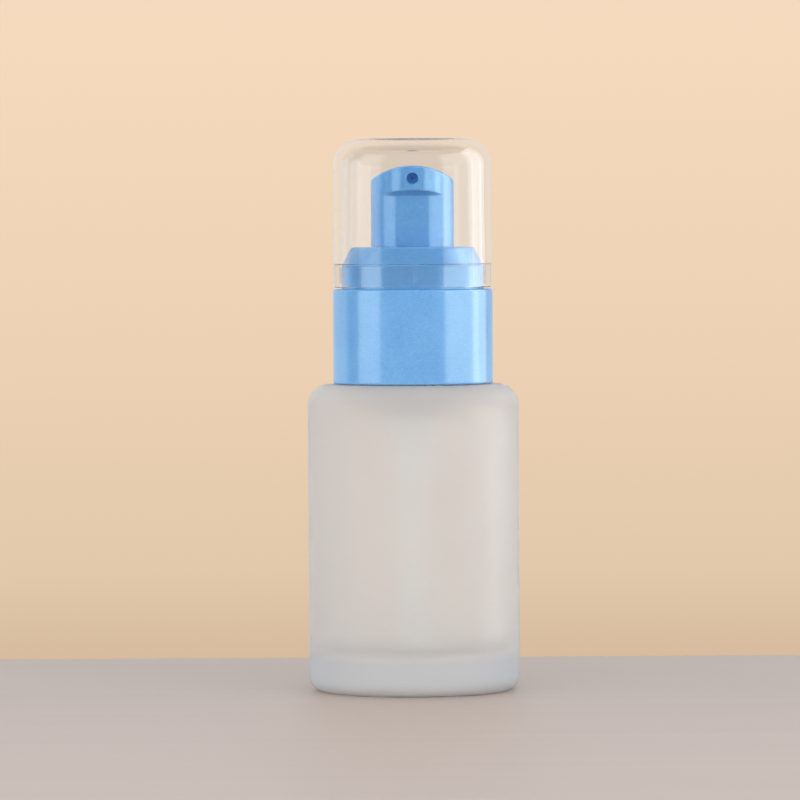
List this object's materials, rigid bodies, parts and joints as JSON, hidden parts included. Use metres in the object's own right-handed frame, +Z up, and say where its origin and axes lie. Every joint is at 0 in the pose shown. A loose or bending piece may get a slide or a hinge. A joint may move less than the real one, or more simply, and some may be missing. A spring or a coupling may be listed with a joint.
{
  "type": "foundation bottle",
  "caption": "Round frosted glass bottle with a screw-on push pump, a stepped collar and a clear pull-off overcap.",
  "frame": {"origin": "centre of the base, on the surface the bottle stands on", "axes": "+Z up along the axis of the bottle, neck and pump; -Y is the front, where the button's nose and its hole point; +X is to the right seen from the front"},
  "size_m": [0.036, 0.036, 0.0941],
  "materials": {
    "frosted_glass": "frosted",
    "clear_plastic": "clear polished",
    "blue_plastic": "satin pearlescent",
    "white_plastic": "natural moulded",
    "soft_plastic": "natural moulded",
    "steel": "drawn wire"
  },
  "bodies": {
    "bottle": {"glass_bottle": "frosted_glass"},
    "gasket": {"neck_gasket": "soft_plastic"},
    "pump_unit": {"screw_closure": "white_plastic", "collar_sleeve": "blue_plastic", "pump_housing": "white_plastic", "housing_cap": "white_plastic", "stem_wiper": "soft_plastic", "ball_cage": "white_plastic", "dip_tube": "soft_plastic", "return_spring": "steel"},
    "stem": {"piston_stem": "white_plastic", "piston_retainer": "white_plastic"},
    "piston": {"piston": "soft_plastic"},
    "button": {"actuator_button": "blue_plastic"},
    "overcap": {"overcap": "clear_plastic"},
    "ball": {"inlet_ball": "steel"}
  },
  "joints": [
    {"name": "closure_rise", "type": "slide", "parent": "bottle", "child": "gasket", "axis": [0, 0, 1], "range_m": [0, 0.0045]},
    {"name": "closure_turn", "type": "hinge", "parent": "gasket", "child": "pump_unit", "pos_m": [0, 0, 0.067], "axis": [0, 0, 1], "range_deg": [0, 540]},
    {"name": "pump_press", "type": "slide", "parent": "pump_unit", "child": "stem", "axis": [0, 0, -1], "range_m": [0, 0.0045], "stiffness_N_per_m": 1500, "springref_m": -0.004, "deforming": ["return_spring"]},
    {"name": "piston_slip", "type": "slide", "parent": "stem", "child": "piston", "axis": [0, 0, 1], "range_m": [0, 0.0008]},
    {"name": "button_swivel", "type": "hinge", "parent": "stem", "child": "button", "pos_m": [0, 0, 0.082], "axis": [0, 0, 1], "continuous": true},
    {"name": "overcap_lift", "type": "slide", "parent": "pump_unit", "child": "overcap", "axis": [0, 0, 1], "range_m": [0, 0.03]},
    {"name": "inlet_ball_lift", "type": "slide", "parent": "pump_unit", "child": "ball", "axis": [0, 0, 1], "range_m": [0, 0.0008]}
  ],
  "couplings": [
    {"joint": "closure_rise", "follows": "closure_turn", "m_per_rad": 0.00047746}
  ]
}
